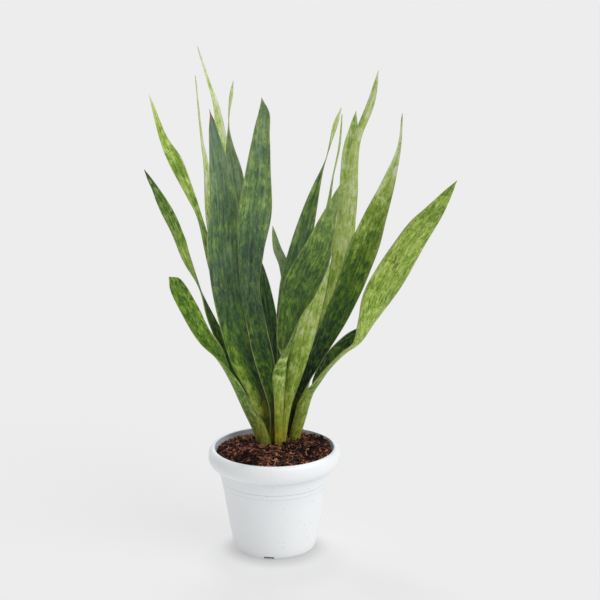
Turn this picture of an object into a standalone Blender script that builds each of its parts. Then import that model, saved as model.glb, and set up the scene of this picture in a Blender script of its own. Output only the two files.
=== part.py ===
"""A snake plant in a 6 inch nursery pot: seventeen leaves in three rosettes on one rhizome.

Metres, +Z up. The origin is the middle of the pot's flat base, and -Y is the front.
"""

import math

import bmesh
import bpy
from mathutils import Matrix, Vector

MM = 0.001
GAP = 0.3 * MM  # clearance between pieces that touch

# Pot
POT_HEIGHT = 131.5 * MM
BASE_RADIUS = 51.5 * MM
WALL_SLOPE = 0.164  # outward run for each unit of height below the rim
WALL = 1.5 * MM
FLOOR = 2.0 * MM
RIM_RADIUS = 82.5 * MM
RIM_DROP = 24.0 * MM  # from the lip down to the edge of the folded skirt
LIP_RADIUS = 74.6 * MM
SKIRT = 1.4 * MM
BAND_HEIGHT = 17.0 * MM  # the raised band below the rim
BAND_STEP = 0.9 * MM
SECOND_STEP_HEIGHT = 6.0 * MM
POT_SIDES = 72
NOTCH_COUNT = 4
NOTCH_TURN = -8.0  # degrees from the front to the first drainage notch
NOTCH_WIDTH = 12.0 * MM
NOTCH_HEIGHT = 3.2 * MM
NOTCH_DEPTH = 9.0 * MM

# Soil
SOIL_TOP = 130.5 * MM
SOIL_EDGE = 121.5 * MM
MOUND = ((0.28, 0.97), (0.55, 0.80), (0.78, 0.50), (0.93, 0.20))  # share of radius, share of rise
POCKET_FLOOR = 101.0 * MM

# Rhizome: one crown under each rosette, as (middle x, middle y, width, length), and two runners
CROWN_TOP = 111.7 * MM
CROWN_BASE = 101.4 * MM
CROWNS = {
    "left": (-0.0115, 0.0235, 0.0200, 0.0370),
    "middle": (0.0060, 0.0230, 0.0210, 0.0360),
    "right": (0.0255, 0.0420, 0.0210, 0.0310),
}
RUNNERS = {"left": (-0.046, 0.006), "middle": (0.034, -0.024)}  # the crown each leaves, and its end
RUNNER_RADIUS = 4.0 * MM
RUNNER_HEIGHT = 106.5 * MM

# Leaves
ROWS = 18  # steps along a leaf
STRIPS = 4  # steps across a leaf
ROOT_THICKNESS = 2.5 * MM
TIP_THICKNESS = 1.0 * MM
MARGIN_SHARE = 0.45  # thickness at the margin against the midrib
ROOT_CUP = 60.0  # degrees, half the arc that the channelled root bends round
BLADE_CUP = 17.0
CUP_FADE = 0.30  # share of the length over which the channel opens

# The path of each leaf's midrib from the crown to the tip: x, y, z and the leaf's width there in
# millimetres, and the way its upper face looks, in degrees from the front, positive to the right.
LEAVES = {
    "leaf_left_1": (
        (-12, 9, 112, 17, 176), (-13, 8, 130, 21, 172), (-21, 2, 155, 21, 168), (-34, -7, 182, 18, 158),
        (-50, -18, 216, 22, 124), (-70, -34, 259, 27, 84), (-87, -46, 288, 27, 60),
        (-100, -58, 319, 28, 50), (-115, -73, 355, 22, 46), (-122, -79, 368, 6, 46),
    ),
    "leaf_left_2": (
        (-13, 22, 112, 11, 6), (-15, 23, 139, 13, 10), (-31, 20, 188, 20, 24), (-50, 18, 226, 21, 44),
        (-80, 13, 297, 17, 68), (-91, 9, 333, 10, 104), (-105, 6, 366, 15, 140),
        (-118, 2, 406, 16, 156), (-132, -1, 438, 15, 162), (-154, -6, 483, 2, 165),
    ),
    "leaf_left_3": (
        (-13, 18, 112, 11, 0), (-12, 18, 145, 14, 2), (-15, 16, 171, 23, 4), (-23, 13, 203, 27, 8),
        (-41, 10, 247, 33, 12), (-54, 4, 321, 41, 11), (-60, -1, 385, 43, 9), (-60, -6, 439, 35, 8),
        (-65, -10, 491, 23, 8), (-75, -16, 556, 2, 8),
    ),
    "leaf_left_4": (
        (-12, 26, 112, 11, 0), (-10, 28, 138, 11, -4), (-19, 33, 201, 16, -6), (-31, 38, 298, 26, -6),
        (-41, 44, 392, 28, -8), (-47, 48, 463, 24, -12), (-52, 51, 499, 14, -36),
        (-54, 53, 533, 5, -90), (-51, 55, 562, 5, -150), (-48, 56, 582, 2, -168),
    ),
    "leaf_left_5": (
        (-12, 30, 112, 11, 0), (-11, 32, 136, 11, 6), (-22, 40, 199, 16, 10), (-39, 54, 307, 25, 14),
        (-54, 69, 419, 25, 18), (-64, 79, 499, 17, 22), (-70, 85, 545, 9, 28),
        (-80, 90, 578, 4, 36), (-93, 96, 620, 2, 40),
    ),
    "leaf_left_6": (
        (-12, 34, 112, 11, 0), (-12, 36, 134, 11, 14), (-30, 43, 199, 15, 30), (-56, 52, 279, 20, 40),
        (-78, 60, 354, 19, 52), (-92, 66, 408, 13, 66), (-103, 69, 437, 16, 54),
        (-122, 74, 479, 22, 46), (-137, 78, 509, 13, 48), (-153, 84, 562, 2, 50),
    ),
    "leaf_left_7": (
        (-12, 38, 112, 10, 0), (-14, 41, 133, 10, 12), (-33, 57, 207, 15, 26), (-61, 76, 301, 19, 40),
        (-79, 95, 395, 19, 48), (-85, 109, 464, 12, 54), (-91, 117, 506, 5, 60),
        (-98, 132, 581, 2, 64),
    ),
    "leaf_middle_1": (
        (8, 10, 112, 13, -150), (7, 8, 136, 13, -150), (8, 0, 186, 17, -146), (12, -10, 228, 30, -126),
        (20, -23, 270, 43, -70), (28, -33, 318, 46, -46), (36, -42, 350, 48, -32),
        (51, -53, 388, 38, -20), (61, -64, 422, 24, -16), (78, -84, 479, 2, -14),
    ),
    "leaf_middle_2": (
        (10, 20, 112, 11, 178), (10, 18, 132, 11, 174), (16, 21, 178, 13, 172), (24, 24, 212, 21, 170),
        (39, 31, 276, 31, 167), (56, 38, 349, 28, 150), (65, 44, 414, 17, 112),
        (73, 49, 462, 13, 88), (81, 53, 500, 8, 72), (85, 58, 541, 2, 60),
    ),
    "leaf_middle_3": (
        (-1, 23, 113, 11, 0), (-1, 16.5, 138, 11, 18), (-1, 9, 180, 13, 10), (-9, 3, 232, 25, -5),
        (-19, 0, 279, 26, -6), (-28, -10, 335, 24, -6), (-27, -19, 386, 32, -5),
        (-22, -27, 432, 40, -4), (-17, -36, 488, 30, -4), (-12, -48, 550, 14, -4), (-13, -52, 574, 2, -4),
    ),
    "leaf_middle_4": (
        (4, 28, 112, 11, -4), (2, 28, 138, 11, -8), (-2, 31, 192, 14, -10), (-6, 34, 246, 24, -12),
        (-8, 38, 287, 26, -13), (-11, 41, 322, 18, -14), (-15, 44, 359, 2, -16),
    ),
    "leaf_middle_5": (
        (7, 32, 112, 11, -6), (7, 32, 136, 11, -10), (9, 40, 186, 14, -10), (14, 51, 255, 24, -10),
        (22, 60, 318, 31, -10), (32, 68, 362, 28, -8), (42, 75, 402, 22, -14), (55, 82, 446, 13, -44),
        (68, 89, 485, 5, -96), (78, 94, 521, 7, -152), (86, 98, 544, 2, -162),
    ),
    "leaf_middle_6": (
        (9, 37, 112, 11, -10), (8, 38, 137, 11, -18), (12, 47, 183, 14, -20), (17, 58, 245, 15, -22),
        (19, 67, 300, 15, -22), (14, 81, 343, 14, -24), (5, 88, 366, 12, -24), (-1, 94, 394, 2, -24),
    ),
    "leaf_right_1": (
        (26, 30, 112, 14, 182), (27, 29, 132, 17, 190), (35, 24, 163, 20, 198), (43, 20, 185, 24, 222),
        (55, 14, 207, 29, 262), (72, 7, 236, 31, 280), (91, 0, 257, 36, 272), (110, -6, 272, 44, 260),
        (122, -11, 298, 47, 230), (133, -18, 335, 47, 206), (167, -37, 402, 38, 200),
        (190, -49, 438, 25, 199), (214, -62, 478, 2, 198),
    ),
    "leaf_right_2": (
        (22, 41, 112, 11, 0), (21, 41, 130, 11, -4), (23, 39, 171, 14, -8), (36, 38, 206, 20, -12),
        (54, 36, 243, 25, -14), (84, 33, 301, 30, -16), (112, 30, 377, 36, -16),
        (126, 28, 419, 28, -16), (141, 26, 461, 17, -16), (153, 24, 504, 5, -16), (156, 22, 546, 2, -18),
    ),
    "leaf_right_3": (
        (26, 45, 112, 11, 180), (28, 45, 134, 11, 176), (36, 43, 188, 13, 174), (57, 40, 264, 16, 172),
        (78, 37, 326, 22, 170), (88, 35, 385, 23, 168), (93, 32, 450, 20, 162),
        (101, 30, 510, 11, 158), (118, 28, 557, 10, 154), (127, 26, 597, 2, 150),
    ),
    "leaf_right_4": (
        (25, 55, 112, 11, 0), (28, 57, 133, 11, 0), (38, 65, 191, 13, 0), (61, 76, 272, 17, 0),
        (86, 88, 357, 23, 0), (95, 98, 432, 24, 0), (97, 104, 485, 20, 0), (102, 109, 518, 10, 0),
        (105, 112, 538, 2, 0),
    ),
}

# Three leaves roll tight low down and open as they rise: half-angles in degrees, one for each point.
FOLDS = {
    "leaf_left_1": (60, 60, 62, 66, 72, 60, 40, 28, 24, 24),
    "leaf_middle_1": (60, 60, 62, 74, 76, 48, 30, 22, 18, 17),
    "leaf_right_1": (60, 60, 64, 72, 80, 82, 76, 66, 38, 19, 17, 17, 17),
}

COLOURS = {  # base colour, roughness
    "pot_plastic": ((0.83, 0.85, 0.87), 0.38),
    "soil": ((0.055, 0.032, 0.020), 0.95),
    "rhizome": ((0.55, 0.40, 0.22), 0.70),
    "leaf": ((0.09, 0.24, 0.06), 0.42),
}


def clear_scene():
    for obj in list(bpy.data.objects):
        bpy.data.objects.remove(obj, do_unlink=True)


def make_material(name):
    colour, roughness = COLOURS[name]
    material = bpy.data.materials.new(name)
    material.use_nodes = True
    shader = material.node_tree.nodes["Principled BSDF"]
    shader.inputs["Base Color"].default_value = (*colour, 1)
    shader.inputs["Roughness"].default_value = roughness
    shader.inputs["Metallic"].default_value = 0
    return material


def add_object(name, mesh, collection, material=None):
    obj = bpy.data.objects.new(name, mesh)
    collection.objects.link(obj)
    if material:
        mesh.materials.append(material)
    return obj


def add_cutter(name, mesh, cutters):
    cutter = add_object(name, mesh, cutters)
    cutter.hide_render = True
    cutter.display_type = "WIRE"
    return cutter


def boolean(obj, other, operation):
    modifier = obj.modifiers.new(other.name, "BOOLEAN")
    modifier.operation = operation
    modifier.object = other
    modifier.solver = "EXACT"


def turned(name, profile, sides, collection, material):
    """A solid of revolution from (radius, height) points running over the top and down the outside."""
    mesh = bpy.data.meshes.new(name)
    edges = [(i, i + 1) for i in range(len(profile) - 1)]
    mesh.from_pydata([(r, 0, z) for r, z in profile], edges, [])
    obj = add_object(name, mesh, collection, material)
    screw = obj.modifiers.new("turn", "SCREW")
    screw.axis = "Z"
    screw.steps = sides
    screw.render_steps = sides
    screw.use_merge_vertices = True
    screw.merge_threshold = 0.0001
    screw.use_smooth_shade = True
    return obj


def baked(obj, collection):
    """Swaps a curve for its mesh, with the caps welded on, so that a Boolean can use it."""
    graph = bpy.context.evaluated_depsgraph_get()
    graph.update()
    mesh = bpy.data.meshes.new_from_object(obj.evaluated_get(graph))
    bm = bmesh.new()
    bm.from_mesh(mesh)
    bmesh.ops.remove_doubles(bm, verts=bm.verts, dist=0.01 * MM)
    bm.to_mesh(mesh)
    bm.free()
    new = add_object(f"{obj.name}_mesh", mesh, collection)
    new.matrix_world = obj.matrix_world.copy()
    bpy.data.objects.remove(obj, do_unlink=True)
    return new


def outer_wall(height):
    return BASE_RADIUS + WALL_SLOPE * height


def inner_wall(height):
    """Inside radius of the pot: parallel to the outside, then flared to the lip behind the rim."""
    knee = POT_HEIGHT - RIM_DROP
    if height <= knee:
        return outer_wall(height) - WALL
    share = (height - knee) / (POT_HEIGHT - knee)
    return outer_wall(knee) - WALL + share * (LIP_RADIUS - outer_wall(knee) + WALL)


def rim_curve(inset):
    """The folded skirt from the lip out to its widest line and in again underneath, moved in by inset."""
    top = POT_HEIGHT - inset
    widest = POT_HEIGHT - 11 * MM
    edge = POT_HEIGHT - RIM_DROP
    start = LIP_RADIUS + WALL
    reach = RIM_RADIUS - inset - start
    over = [
        (start + reach * math.sin(a), widest + (top - widest) * math.cos(a))
        for a in (math.radians(d) for d in (12, 32, 52, 72, 90))
    ]
    tuck = outer_wall(edge) + 3.6 * MM - inset
    under = [
        (tuck + (RIM_RADIUS - inset - tuck) * math.cos(a), widest + (edge - widest) * math.sin(a))
        for a in (math.radians(d) for d in (30, 60, 90))
    ]
    return over + under


def make_pot(collection, cutters, material):
    knee = POT_HEIGHT - RIM_DROP
    band = knee - BAND_HEIGHT
    second = band - SECOND_STEP_HEIGHT
    fold = POT_HEIGHT - SKIRT * 1.4
    inside = [(0, FLOOR), (inner_wall(FLOOR) - 3 * MM, FLOOR), (inner_wall(5 * MM), 5 * MM)]
    inside += [(inner_wall(knee), knee), (LIP_RADIUS, POT_HEIGHT - 1 * MM)]
    lip = [(LIP_RADIUS + 0.5 * MM, POT_HEIGHT)]
    under_fold = list(reversed(rim_curve(SKIRT)))
    neck = [(LIP_RADIUS + WALL + 0.6 * MM, fold - 1 * MM), (LIP_RADIUS + WALL, fold - 3 * MM)]
    body = [
        (outer_wall(knee) + BAND_STEP, knee),
        (outer_wall(band) + BAND_STEP, band),
        (outer_wall(band) + 0.4 * BAND_STEP, band - 0.8 * MM),
        (outer_wall(second) + 0.4 * BAND_STEP, second),
        (outer_wall(second), second - 0.8 * MM),
    ]
    foot = [
        (outer_wall(3 * MM), 3 * MM),
        (outer_wall(1 * MM) - 0.9 * MM, 0.9 * MM),
        (BASE_RADIUS - 3 * MM, 0),
        (0, 0),
    ]
    profile = inside + lip + rim_curve(0) + under_fold[:-1] + neck + body + foot
    pot = turned("pot", profile, POT_SIDES, collection, material)
    for i in range(NOTCH_COUNT):
        turn = Matrix.Rotation(math.radians(NOTCH_TURN + i * 360 / NOTCH_COUNT), 4, "Z")
        middle = Vector((0, -BASE_RADIUS - 0.5 * MM, 0))
        size = (NOTCH_WIDTH, NOTCH_DEPTH, 2 * NOTCH_HEIGHT)
        notch = box_mesh(size, turn @ Matrix.Translation(middle))
        boolean(pot, add_cutter(f"drain_notch_{i + 1}", notch, cutters), "DIFFERENCE")
    return pot


def box_mesh(size, matrix):
    mesh = bpy.data.meshes.new("box")
    bm = bmesh.new()
    bmesh.ops.create_cube(bm, size=1, matrix=matrix @ Matrix.Diagonal((*size, 1)))
    bm.to_mesh(mesh)
    bm.free()
    return mesh


def soil_profile():
    rim_radius = inner_wall(SOIL_EDGE) - GAP
    knee = POT_HEIGHT - RIM_DROP
    rise = SOIL_TOP - SOIL_EDGE
    mound = [(share * rim_radius, SOIL_EDGE + lift * rise) for share, lift in MOUND]
    side = [(rim_radius, SOIL_EDGE), (inner_wall(knee) - GAP, knee), (inner_wall(5 * MM) - GAP, 5 * MM)]
    return [(0, SOIL_TOP)] + mound + side + [(inner_wall(FLOOR) - 3.3 * MM, FLOOR + GAP), (0, FLOOR + GAP)]


def crown_mesh(crown, low, high, grow):
    """A crown, or the pocket it sits in, as an upright block with rounded corners."""
    x, y, width, length = crown
    mesh = bpy.data.meshes.new("crown")
    bm = bmesh.new()
    place = Matrix.Translation((x, y, (low + high) / 2))
    size = (width + 2 * grow, length + 2 * grow, high - low)
    bmesh.ops.create_cube(bm, size=1, matrix=place @ Matrix.Diagonal((*size, 1)))
    upright = [e for e in bm.edges if abs(e.verts[0].co.z - e.verts[1].co.z) > 1 * MM]
    bmesh.ops.bevel(bm, geom=upright, offset=width * 0.36, segments=4, profile=0.5, affect="EDGES")
    bm.to_mesh(mesh)
    bm.free()
    return mesh


def runner(name, crown, end, radius, cutters):
    """A round shoot of the rhizome out of a crown, as a closed tube."""
    curve = bpy.data.curves.new(name, "CURVE")
    curve.dimensions = "3D"
    curve.bevel_depth = radius
    curve.bevel_resolution = 2
    curve.use_fill_caps = True
    spline = curve.splines.new("POLY")
    spline.points.add(1)
    for point, place in zip(spline.points, (crown, end)):
        point.co = (place[0], place[1], RUNNER_HEIGHT, 1)
    tube = baked(add_object(name, curve, cutters), cutters)
    tube.hide_render = True
    tube.display_type = "WIRE"
    return tube


def make_rhizome(collection, cutters, material):
    blocks = {name: crown_mesh(crown, CROWN_BASE, CROWN_TOP, 0) for name, crown in CROWNS.items()}
    rhizome = add_object("rhizome", blocks["left"], collection, material)
    for name in ("middle", "right"):
        boolean(rhizome, add_cutter(f"crown_{name}", blocks[name], cutters), "UNION")
    for name, end in RUNNERS.items():
        boolean(rhizome, runner(f"runner_{name}", CROWNS[name], end, RUNNER_RADIUS, cutters), "UNION")
    return rhizome


def make_soil(collection, cutters, material):
    soil = turned("soil", soil_profile(), POT_SIDES, collection, material)
    for name, crown in CROWNS.items():
        mesh = crown_mesh(crown, POCKET_FLOOR, SOIL_TOP + 5 * MM, GAP)
        boolean(soil, add_cutter(f"pocket_{name}", mesh, cutters), "DIFFERENCE")
    for name, (x, y) in RUNNERS.items():
        way = Vector((x, y)) - Vector(CROWNS[name][:2])
        end = Vector((x, y)) + way.normalized() * GAP
        boolean(soil, runner(f"tunnel_{name}", CROWNS[name], end, RUNNER_RADIUS + GAP, cutters), "DIFFERENCE")
    return soil


def through(values, at):
    """A smooth curve through evenly numbered values (Catmull-Rom), read at a number between them."""
    last = len(values) - 1
    i = min(int(at), last - 1)
    t = at - i
    b, c = values[i], values[i + 1]
    a = values[i - 1] if i else b + (b - c)
    d = values[i + 2] if i + 2 <= last else c + (c - b)
    square = a * 2 - b * 5 + c * 4 - d
    cube = b * 3 - a - c * 3 + d
    return b + (c - a) * (t / 2) + square * (t * t / 2) + cube * (t**3 / 2)


def even_steps(points, count):
    """Numbers along the curve through the points that cut it into stretches of one length."""
    fine = 40 * (len(points) - 1)
    places = [through(points, k * (len(points) - 1) / fine) for k in range(fine + 1)]
    run = [0.0]
    for a, b in zip(places, places[1:]):
        run.append(run[-1] + (b - a).length)
    steps = []
    k = 0
    for row in range(count + 1):
        want = run[-1] * row / count
        while k < fine - 1 and run[k + 1] < want:
            k += 1
        steps.append((k + (want - run[k]) / (run[k + 1] - run[k])) * (len(points) - 1) / fine)
    return steps


def make_leaf(name, path, collection, material):
    """A flat grid rolled round its midrib and laid along the path, then given its thickness."""
    points = [Vector((x, y, z)) * MM for x, y, z, *_ in path]
    widths = [width * MM for *_, width, _ in path]
    facings = [facing for *_, facing in path]
    steps = even_steps(points, ROWS)
    bm = bmesh.new()
    bmesh.ops.create_grid(bm, x_segments=STRIPS, y_segments=ROWS, size=1)
    thick = bm.verts.layers.deform.verify()
    middles = [through(points, min(step, len(points) - 1)) for step in steps]
    for vert in bm.verts:
        row = round((vert.co.y + 1) / 2 * ROWS)
        side = vert.co.x
        t = row / ROWS
        ahead = middles[min(row + 1, ROWS)] - middles[row - 1] if row else Vector((0, 0, 1))
        ahead.normalize()
        turn = math.radians(through(facings, steps[row]))
        face = Vector((math.sin(turn), -math.cos(turn), 0))
        face = (face - ahead * face.dot(ahead)).normalized()
        across = ahead.cross(face)
        cup = math.radians(BLADE_CUP + (ROOT_CUP - BLADE_CUP) * math.exp(-((t / CUP_FADE) ** 2)))
        if name in FOLDS:
            cup = math.radians(through(FOLDS[name], steps[row]))
        bend = through(widths, steps[row]) / (2 * cup)
        rise = bend * (1 - math.cos(cup * side))
        vert.co = middles[row] + across * bend * math.sin(cup * side) + face * rise
        full = ROOT_THICKNESS + (TIP_THICKNESS - ROOT_THICKNESS) * t
        vert[thick][0] = full / ROOT_THICKNESS * (1 - (1 - MARGIN_SHARE) * side * side)
    bmesh.ops.recalc_face_normals(bm, faces=bm.faces)
    mesh = bpy.data.meshes.new(name)
    bm.to_mesh(mesh)
    bm.free()
    mesh.shade_smooth()
    leaf = add_object(name, mesh, collection, material)
    leaf.vertex_groups.new(name="thickness")
    solid = leaf.modifiers.new("thickness", "SOLIDIFY")
    solid.thickness = ROOT_THICKNESS
    solid.offset = 0
    solid.vertex_group = "thickness"
    return leaf


def main():
    clear_scene()
    parts = bpy.data.collections.new("potted_snake_plant")
    cutters = bpy.data.collections.new("cutters")
    bpy.context.scene.collection.children.link(parts)
    bpy.context.scene.collection.children.link(cutters)
    materials = {name: make_material(name) for name in COLOURS}
    make_pot(parts, cutters, materials["pot_plastic"])
    make_soil(parts, cutters, materials["soil"])
    make_rhizome(parts, cutters, materials["rhizome"])
    for name, path in LEAVES.items():
        make_leaf(name, path, parts, materials["leaf"])


main()
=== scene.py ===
import math
import random

import bpy
from mathutils import Euler, Matrix, Vector, noise


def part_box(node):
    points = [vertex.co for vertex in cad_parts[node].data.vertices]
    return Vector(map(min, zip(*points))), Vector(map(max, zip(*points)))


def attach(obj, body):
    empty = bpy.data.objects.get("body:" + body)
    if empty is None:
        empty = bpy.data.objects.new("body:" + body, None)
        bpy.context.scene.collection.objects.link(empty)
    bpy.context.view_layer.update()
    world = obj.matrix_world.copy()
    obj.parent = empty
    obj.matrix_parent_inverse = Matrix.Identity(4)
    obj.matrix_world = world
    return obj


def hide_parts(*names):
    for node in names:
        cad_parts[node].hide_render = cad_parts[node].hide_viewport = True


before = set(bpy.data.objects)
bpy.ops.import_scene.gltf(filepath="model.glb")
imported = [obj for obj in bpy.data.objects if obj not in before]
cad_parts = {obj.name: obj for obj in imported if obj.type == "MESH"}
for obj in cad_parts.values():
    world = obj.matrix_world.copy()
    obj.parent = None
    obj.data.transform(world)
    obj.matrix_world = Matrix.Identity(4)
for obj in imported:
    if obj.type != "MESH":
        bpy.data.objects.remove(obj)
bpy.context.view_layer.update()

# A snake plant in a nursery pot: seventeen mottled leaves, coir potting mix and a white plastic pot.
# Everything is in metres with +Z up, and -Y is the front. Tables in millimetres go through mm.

mm = 0.001
bpy.ops.object.select_all(action="DESELECT")


class Link:  # one output socket, so that shader maths reads as sums
    def __init__(self, finish, socket):
        self.finish = finish
        self.socket = socket

    def math(self, operation, *values):
        return self.finish.node("ShaderNodeMath", {"operation": operation}, dict(enumerate(values)))

    def __add__(self, other):
        return self.math("ADD", self, other)

    def __radd__(self, other):
        return self.math("ADD", other, self)

    def __sub__(self, other):
        return self.math("SUBTRACT", self, other)

    def __rsub__(self, other):
        return self.math("SUBTRACT", other, self)

    def __mul__(self, other):
        return self.math("MULTIPLY", self, other)

    def __rmul__(self, other):
        return self.math("MULTIPLY", other, self)


class Finish:  # a material under construction
    def __init__(self, name):
        self.material = bpy.data.materials.new(name)
        self.material.use_nodes = True
        self.tree = self.material.node_tree
        self.shader = self.tree.nodes["Principled BSDF"]

    def node(self, kind, settings, sockets, output=0):
        made = self.tree.nodes.new(kind)
        for key, value in settings.items():
            if key == "stops":
                self.setStops(made.color_ramp, value)
            else:
                setattr(made, key, value)
        for key, value in sockets.items():
            self.feed(made.inputs[key], value)
        return Link(self, made.outputs[output])

    def setStops(self, ramp, stops):
        while len(ramp.elements) < len(stops):
            ramp.elements.new(1)
        for element, (place, colour) in zip(ramp.elements, stops):
            element.position = place
            element.color = (*colour, 1)

    def feed(self, socket, value):
        if isinstance(value, Link):
            self.tree.links.new(value.socket, socket)
        elif socket.type == "RGBA" and len(value) == 3:
            socket.default_value = (*value, 1)
        else:
            socket.default_value = value

    def set(self, name, value):
        self.feed(self.shader.inputs[name], value)

    def objectPlace(self):
        return self.node("ShaderNodeTexCoord", {}, {}, "Object")

    def attribute(self, name, output="Vector"):
        return self.node("ShaderNodeAttribute", {"attribute_name": name}, {}, output)

    def part(self, vector, axis):
        return self.node("ShaderNodeSeparateXYZ", {}, {0: vector}, axis)

    def fromAxis(self, vector):
        flat = self.stretch(vector, (1, 1, 0))
        return self.node("ShaderNodeVectorMath", {"operation": "LENGTH"}, {0: flat}, "Value")

    def stretch(self, vector, scale):
        return self.node("ShaderNodeVectorMath", {"operation": "MULTIPLY"}, {0: vector, 1: scale})

    def shift(self, vector, other):
        return self.node("ShaderNodeVectorMath", {"operation": "ADD"}, {0: vector, 1: other})

    def vector(self, x, y, z):
        return self.node("ShaderNodeCombineXYZ", {}, {0: x, 1: y, 2: z})

    def noise(self, vector, scale, detail=2.0, roughness=0.5, distortion=0.0):
        sockets = {"Vector": vector, "Scale": scale, "Detail": detail}
        sockets.update({"Roughness": roughness, "Distortion": distortion})
        return self.node("ShaderNodeTexNoise", {}, sockets)

    def cells(self, vector, scale, feature="F1", output="Distance"):
        sockets = {"Vector": vector, "Scale": scale}
        return self.node("ShaderNodeTexVoronoi", {"feature": feature}, sockets, output)

    def between(self, value, low, high):  # 0 below low, 1 above high, eased
        settings = {"interpolation_type": "SMOOTHSTEP"}
        return self.node("ShaderNodeMapRange", settings, {0: value, 1: low, 2: high})

    def mix(self, share, first, second):
        return self.node("ShaderNodeMix", {"data_type": "RGBA"}, {0: share, 6: first, 7: second}, 2)

    def ramp(self, value, stops):
        return self.node("ShaderNodeValToRGB", {"stops": stops}, {0: value})

    def bump(self, height, distance, strength=1.0, under=None):
        sockets = {"Height": height, "Distance": distance, "Strength": strength}
        if under:
            sockets["Normal"] = under
        return self.node("ShaderNodeBump", {}, sockets)


def finishPiece(piece, slot, *nodes):
    # the piece ends at the origin with its place in its mesh, and stands for these CAD nodes
    bpy.ops.object.select_all(action="DESELECT")
    piece.select_set(True)
    bpy.context.view_layer.objects.active = piece
    bpy.ops.object.transform_apply(location=True, rotation=True, scale=True)
    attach(piece, "root")
    if nodes:
        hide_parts(*nodes)
    bpy.ops.object.select_all(action="DESELECT")


def applyModifiers(piece):
    bpy.context.view_layer.objects.active = piece
    for modifier in list(piece.modifiers):
        bpy.ops.object.modifier_apply(modifier=modifier.name)


def ringsUp(name, rings, sides):
    # a ring is extruded from the last one and resized, and both ends are closed on the axis
    bpy.ops.object.select_all(action="DESELECT")
    radius, height = rings[0]
    bpy.ops.mesh.primitive_circle_add(vertices=sides, radius=radius, location=(0, 0, height))
    piece = bpy.context.object
    piece.name = name
    piece.data.name = name
    bpy.ops.object.transform_apply(location=True, rotation=True, scale=True)
    bpy.ops.object.mode_set(mode="EDIT")
    bpy.ops.mesh.select_all(action="SELECT")
    for wide, high in rings[1:]:
        bpy.ops.mesh.extrude_region_move(TRANSFORM_OT_translate={"value": (0, 0, high - height)})
        share = wide / radius
        bpy.ops.transform.resize(value=(share, share, 1), center_override=(0, 0, high))
        radius, height = wide, high
    bpy.ops.mesh.merge(type="CENTER")
    bpy.ops.mesh.select_all(action="DESELECT")
    bpy.ops.mesh.select_non_manifold(extend=False)
    bpy.ops.mesh.merge(type="CENTER")
    bpy.ops.mesh.select_all(action="SELECT")
    bpy.ops.mesh.normals_make_consistent(inside=False)
    bpy.ops.object.mode_set(mode="OBJECT")
    return piece


def smoothByAngle(piece, degrees):
    bpy.ops.object.select_all(action="DESELECT")
    piece.select_set(True)
    bpy.context.view_layer.objects.active = piece
    bpy.ops.object.shade_smooth_by_angle(angle=math.radians(degrees))


# The camera, the floor sheet and the light, in metres and degrees.
studio = {
    "lens": 94.33, "cameraPlace": (0, -1.868, 0.785), "cameraDown": 13.98, "cameraRight": 0.989,
    "farClip": 100,
    "floorSize": 60.0, "floorColour": (0.22, 0.22, 0.22), "floorGlow": 0.60,  # a sheet lit from below too
    "grainScale": 900, "grainRoughness": (0.85, 0.1),
    "footShift": (0, 0.010, 0),
    "footPaintedShadow": (0.040, 0.074, 0.34),  # a painted shadow round the pot's foot: the sheet's glow is dimmed from near to far, by this share
    "skyColour": (0.985, 0.99, 1.0), "skyStrength": 0.44,
    "lights": (("keyLight", 56, 44, 1.55, 50), ("backLight", 184, 68, 1.15, 16)),
    # each light's name, degrees round to the right of the front, degrees up, strength and width in degrees
}


def makeStudio():
    bpy.context.scene.view_settings.view_transform = "Standard"
    turn = (math.radians(90 - studio["cameraDown"]), 0, -math.radians(studio["cameraRight"]))
    bpy.ops.object.camera_add(location=studio["cameraPlace"], rotation=turn)
    camera = bpy.context.object
    camera.data.lens = studio["lens"]
    camera.data.clip_end = studio["farClip"]
    bpy.context.scene.camera = camera

    bpy.ops.mesh.primitive_plane_add(size=studio["floorSize"])
    floor = bpy.context.object
    floor.name = "floor"
    paper = Finish("floorPaper")
    grain = paper.noise(paper.objectPlace(), studio["grainScale"], 2)
    least, more = studio["grainRoughness"]
    # a painted shadow: the sheet's glow is dimmed round the pot's foot, most close to it
    near, far, dim = studio["footPaintedShadow"]
    fromFoot = paper.fromAxis(paper.shift(paper.objectPlace(), studio["footShift"]))
    shade = (1 - paper.between(fromFoot, near, far)) * dim
    paper.set("Base Color", studio["floorColour"])
    paper.set("Roughness", least + more * grain)
    paper.set("Specular IOR Level", 0.0)
    paper.set("Emission Color", paper.mix(shade, (1, 1, 1), (0, 0, 0)))
    paper.set("Emission Strength", studio["floorGlow"])
    floor.data.materials.append(paper.material)

    for name, around, up, strength, width in studio["lights"]:
        bpy.ops.object.light_add(type="SUN", rotation=(math.radians(90 - up), 0, math.radians(around)))
        light = bpy.context.object
        light.name = name
        light.data.energy = strength
        light.data.angle = math.radians(width)

    world = bpy.data.worlds.new("softRoom")
    world.use_nodes = True
    sky = world.node_tree.nodes["Background"]
    sky.inputs["Color"].default_value = (*studio["skyColour"], 1)
    sky.inputs["Strength"].default_value = studio["skyStrength"]
    bpy.context.scene.world = world
    print("studio ready")


makeStudio()


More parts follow.
